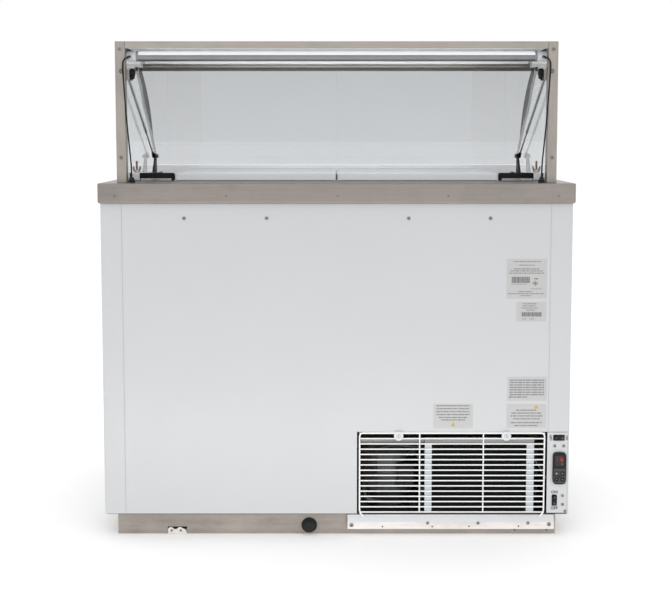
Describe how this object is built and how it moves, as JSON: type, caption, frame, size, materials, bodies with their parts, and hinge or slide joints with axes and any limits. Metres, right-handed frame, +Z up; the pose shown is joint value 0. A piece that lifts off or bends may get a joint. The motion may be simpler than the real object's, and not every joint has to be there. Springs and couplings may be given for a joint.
{
  "type": "chest freezer",
  "caption": "Chest freezer for serving ice cream: flip lids, stainless top, lift-up curved glass canopy with a lamp, and a condensing unit behind a wire guard.",
  "frame": {"origin": "on the floor under the middle of the cabinet, which is the centre of the bounding box's base", "axes": "+Z up; +Y towards the customer's side with the curved glass; -Y is the operator's side with the wire guard and switches; +X towards the controls"},
  "size_m": [1.2, 0.7, 1.261],
  "materials": {
    "white_paint": "satin",
    "stainless": "satin",
    "plinth_grey": "matte",
    "pan_light": "satin",
    "guard_white": "gloss",
    "black_plastic": "satin",
    "black_metal": "satin",
    "condenser_metal": "matte",
    "lead_sheath": "matte",
    "clear_glass": "gloss",
    "lamp_white": "satin",
    "tank_white": "satin",
    "trim_white": "satin",
    "lid_white": "satin",
    "insulation": "matte",
    "copper": "satin"
  },
  "bodies": {
    "cabinet": {"left_side_panel": "white_paint", "right_side_panel": "white_paint", "front_panel": "white_paint", "rear_panel": "white_paint", "control_plate": "white_paint", "top_rim": "stainless", "left_post": "stainless", "right_post": "stainless", "top_shelf": "stainless", "left_clamp_stud": "stainless", "right_clamp_stud": "stainless", "base_frame": "plinth_grey", "floor_pan": "pan_light", "condenser_frame": "pan_light", "wire_guard": "guard_white", "left_lamp_cap": "black_plastic", "right_lamp_cap": "black_plastic", "left_lead_gland": "black_plastic", "right_lead_gland": "black_plastic", "controller": "black_plastic", "left_clamp_strap": "black_metal", "right_clamp_strap": "black_metal", "compressor": "black_metal", "fan_shroud": "black_metal", "fan_motor": "black_metal", "condenser_coil": "condenser_metal", "left_lamp_lead": "lead_sheath", "right_lamp_lead": "lead_sheath", "left_side_glass": "clear_glass", "right_side_glass": "clear_glass", "lamp_tube": "lamp_white", "inner_liner": "tank_white", "opening_collar": "trim_white", "insulation_foam": "insulation", "evaporator_tube": "copper"},
    "front_glass": {"curved_front_glass": "clear_glass", "glass_hinge_strip": "stainless", "glass_bottom_rail": "stainless", "left_glass_cheek": "stainless", "right_glass_cheek": "stainless", "left_strut_bracket": "black_metal", "right_strut_bracket": "black_metal"},
    "left_strut_tube_body": {"left_strut_tube": "stainless"},
    "left_strut_rod_body": {"left_strut_rod": "stainless"},
    "left_front_lid_body": {"left_front_lid": "lid_white"},
    "left_rear_lid_body": {"left_rear_lid": "lid_white"},
    "left_wing_nut_body": {"left_wing_nut": "stainless"},
    "right_strut_tube_body": {"right_strut_tube": "stainless"},
    "right_strut_rod_body": {"right_strut_rod": "stainless"},
    "right_front_lid_body": {"right_front_lid": "lid_white"},
    "right_rear_lid_body": {"right_rear_lid": "lid_white"},
    "right_wing_nut_body": {"right_wing_nut": "stainless"},
    "power_switch_body": {"power_switch": "black_plastic"},
    "light_switch_body": {"light_switch": "black_plastic"},
    "set_button_body": {"set_button": "black_plastic"},
    "up_button_body": {"up_button": "black_plastic"},
    "defrost_button_body": {"defrost_button": "black_plastic"},
    "down_button_body": {"down_button": "black_plastic"},
    "fan_blade_body": {"fan_blade": "black_plastic"},
    "drain_cap_body": {"drain_cap": "black_plastic"}
  },
  "joints": [
    {"name": "front_glass_lift", "type": "hinge", "parent": "cabinet", "child": "front_glass", "pos_m": [0, 0.056, 1.232], "axis": [1, 0, 0], "range_deg": [0, 40]},
    {"name": "left_strut_pivot", "type": "hinge", "parent": "cabinet", "child": "left_strut_tube_body", "pos_m": [-0.54, -0.235, 1.179], "axis": [1, 0, 0], "range_deg": [0, 20]},
    {"name": "left_strut_slide", "type": "slide", "parent": "left_strut_tube_body", "child": "left_strut_rod_body", "axis": [0, 0.8721, -0.4893], "range_m": [0, 0.11]},
    {"name": "left_lid_lift", "type": "slide", "parent": "cabinet", "child": "left_front_lid_body", "axis": [0, 0, 1], "range_m": [0, 0.035]},
    {"name": "left_rear_lid_flip", "type": "hinge", "parent": "left_front_lid_body", "child": "left_rear_lid_body", "pos_m": [-0.21375, 0.02, 0.9233], "axis": [-1, 0, 0], "range_deg": [0, 170]},
    {"name": "left_wing_nut_turn", "type": "hinge", "parent": "cabinet", "child": "left_wing_nut_body", "pos_m": [-0.53, -0.175, 0.9255], "axis": [0, 0, 1], "continuous": true},
    {"name": "right_strut_pivot", "type": "hinge", "parent": "cabinet", "child": "right_strut_tube_body", "pos_m": [0.54, -0.235, 1.179], "axis": [1, 0, 0], "range_deg": [0, 20]},
    {"name": "right_strut_slide", "type": "slide", "parent": "right_strut_tube_body", "child": "right_strut_rod_body", "axis": [0, 0.8721, -0.4893], "range_m": [0, 0.11]},
    {"name": "right_lid_lift", "type": "slide", "parent": "cabinet", "child": "right_front_lid_body", "axis": [0, 0, 1], "range_m": [0, 0.035]},
    {"name": "right_rear_lid_flip", "type": "hinge", "parent": "right_front_lid_body", "child": "right_rear_lid_body", "pos_m": [0.21375, 0.02, 0.9233], "axis": [-1, 0, 0], "range_deg": [0, 170]},
    {"name": "right_wing_nut_turn", "type": "hinge", "parent": "cabinet", "child": "right_wing_nut_body", "pos_m": [0.53, -0.175, 0.9255], "axis": [0, 0, 1], "continuous": true},
    {"name": "power_rocker", "type": "hinge", "parent": "cabinet", "child": "power_switch_body", "pos_m": [0.5576, -0.3365, 0.0926], "axis": [1, 0, 0], "range_deg": [-7, 7]},
    {"name": "light_rocker", "type": "hinge", "parent": "cabinet", "child": "light_switch_body", "pos_m": [0.5672, -0.3365, 0.2556], "axis": [0, 0, 1], "range_deg": [-7, 7]},
    {"name": "set_button_press", "type": "slide", "parent": "cabinet", "child": "set_button_body", "axis": [0, 1, 0], "range_m": [0, 0.0008], "stiffness_N_per_m": 400},
    {"name": "up_button_press", "type": "slide", "parent": "cabinet", "child": "up_button_body", "axis": [0, 1, 0], "range_m": [0, 0.0008], "stiffness_N_per_m": 400},
    {"name": "defrost_button_press", "type": "slide", "parent": "cabinet", "child": "defrost_button_body", "axis": [0, 1, 0], "range_m": [0, 0.0008], "stiffness_N_per_m": 400},
    {"name": "down_button_press", "type": "slide", "parent": "cabinet", "child": "down_button_body", "axis": [0, 1, 0], "range_m": [0, 0.0008], "stiffness_N_per_m": 400},
    {"name": "fan_spin", "type": "hinge", "parent": "cabinet", "child": "fan_blade_body", "pos_m": [0.3645, -0.268, 0.15], "axis": [0, 1, 0], "continuous": true},
    {"name": "drain_cap_pull", "type": "slide", "parent": "cabinet", "child": "drain_cap_body", "axis": [0, -1, 0], "range_m": [0, 0.03]}
  ],
  "couplings": [
    {"joint": "left_strut_pivot", "follows": "front_glass_lift", "ratio": 0.485},
    {"joint": "left_strut_slide", "follows": "front_glass_lift", "m_per_rad": 0.154},
    {"joint": "right_strut_pivot", "follows": "front_glass_lift", "ratio": 0.485},
    {"joint": "right_strut_slide", "follows": "front_glass_lift", "m_per_rad": 0.154}
  ]
}
